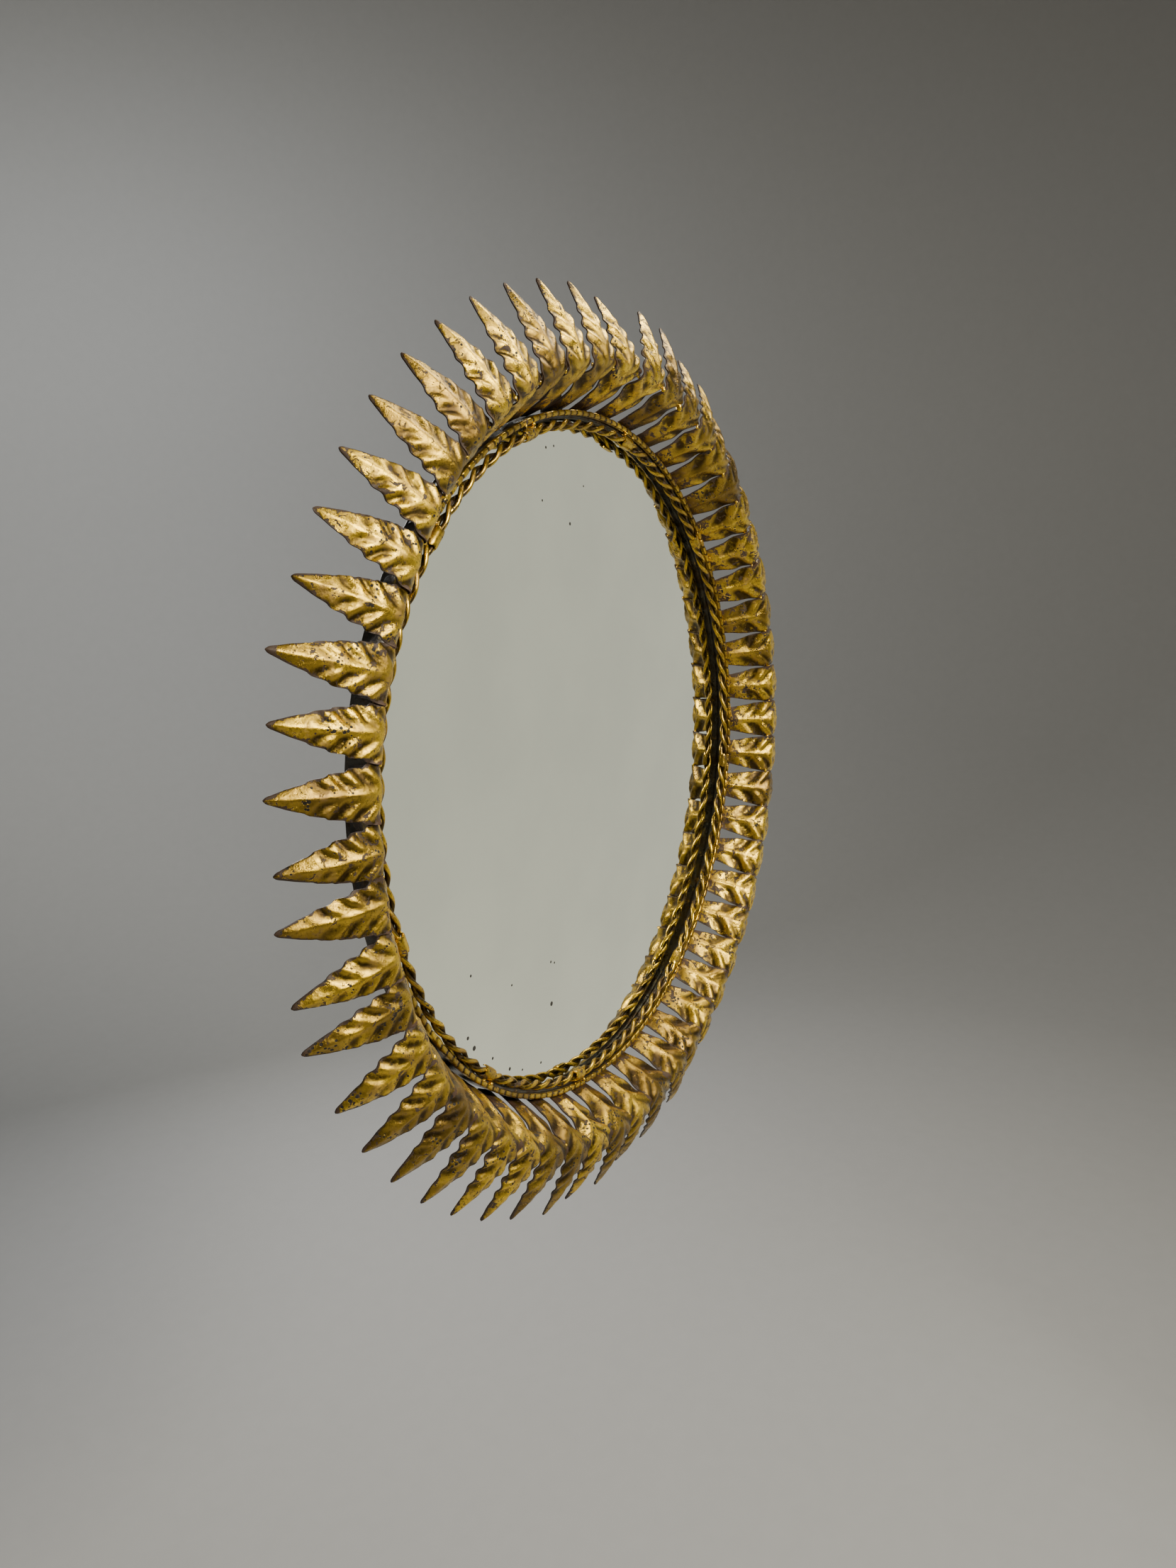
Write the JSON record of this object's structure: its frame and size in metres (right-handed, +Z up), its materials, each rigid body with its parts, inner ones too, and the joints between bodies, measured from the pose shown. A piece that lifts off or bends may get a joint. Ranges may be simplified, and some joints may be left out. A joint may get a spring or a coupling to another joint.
{
  "type": "wall mirror",
  "caption": "Round wall mirror in a worn gilt metal frame: folded leaves stand in a ring around a twisted rope border, with a hanger tab behind.",
  "frame": {"origin": "on the flat back of the hanger tab, in the plane of the wall, 9.5 mm under the centre of the tab's eye", "axes": "+Z up, +X to the right of a viewer who looks at the glass, +Y into the wall; the glass faces -Y and its axis lies 231.45 mm below the origin"},
  "size_m": [0.5993, 0.0484, 0.6027],
  "materials": {
    "silvered_glass": "polished, silvered behind, with a few dark specks",
    "hardboard": "matte",
    "dark_iron": "blackened iron, dull",
    "rope_gilt": "gilded iron wire, worn on the ridges, brown in the grooves",
    "ring_gilt": "gilded iron wire, dull, with brown nicks",
    "leaf_gilt": "gilded iron sheet, half bright, worn to dark brown at the edges and tips"
  },
  "bodies": {
    "root": {"mirror_glass": "silvered_glass", "backing_board": "hardboard", "frame_band": "dark_iron", "rope_ring": "rope_gilt", "notched_ring": "ring_gilt", "hanger": "dark_iron", "leaf_01": "leaf_gilt", "leaf_02": "leaf_gilt", "leaf_03": "leaf_gilt", "leaf_04": "leaf_gilt", "leaf_05": "leaf_gilt", "leaf_06": "leaf_gilt", "leaf_07": "leaf_gilt", "leaf_08": "leaf_gilt", "leaf_09": "leaf_gilt", "leaf_10": "leaf_gilt", "leaf_11": "leaf_gilt", "leaf_12": "leaf_gilt", "leaf_13": "leaf_gilt", "leaf_14": "leaf_gilt", "leaf_15": "leaf_gilt", "leaf_16": "leaf_gilt", "leaf_17": "leaf_gilt", "leaf_18": "leaf_gilt", "leaf_19": "leaf_gilt", "leaf_20": "leaf_gilt", "leaf_21": "leaf_gilt", "leaf_22": "leaf_gilt", "leaf_23": "leaf_gilt", "leaf_24": "leaf_gilt", "leaf_25": "leaf_gilt", "leaf_26": "leaf_gilt", "leaf_27": "leaf_gilt", "leaf_28": "leaf_gilt", "leaf_29": "leaf_gilt", "leaf_30": "leaf_gilt", "leaf_31": "leaf_gilt", "leaf_32": "leaf_gilt", "leaf_33": "leaf_gilt", "leaf_34": "leaf_gilt", "leaf_35": "leaf_gilt", "leaf_36": "leaf_gilt", "leaf_37": "leaf_gilt", "leaf_38": "leaf_gilt", "leaf_39": "leaf_gilt", "leaf_40": "leaf_gilt", "leaf_41": "leaf_gilt", "leaf_42": "leaf_gilt", "leaf_43": "leaf_gilt", "leaf_44": "leaf_gilt", "leaf_45": "leaf_gilt", "leaf_46": "leaf_gilt", "leaf_47": "leaf_gilt", "leaf_48": "leaf_gilt", "leaf_49": "leaf_gilt", "leaf_50": "leaf_gilt", "leaf_51": "leaf_gilt", "leaf_52": "leaf_gilt", "leaf_53": "leaf_gilt", "leaf_54": "leaf_gilt"}
  },
  "joints": []
}
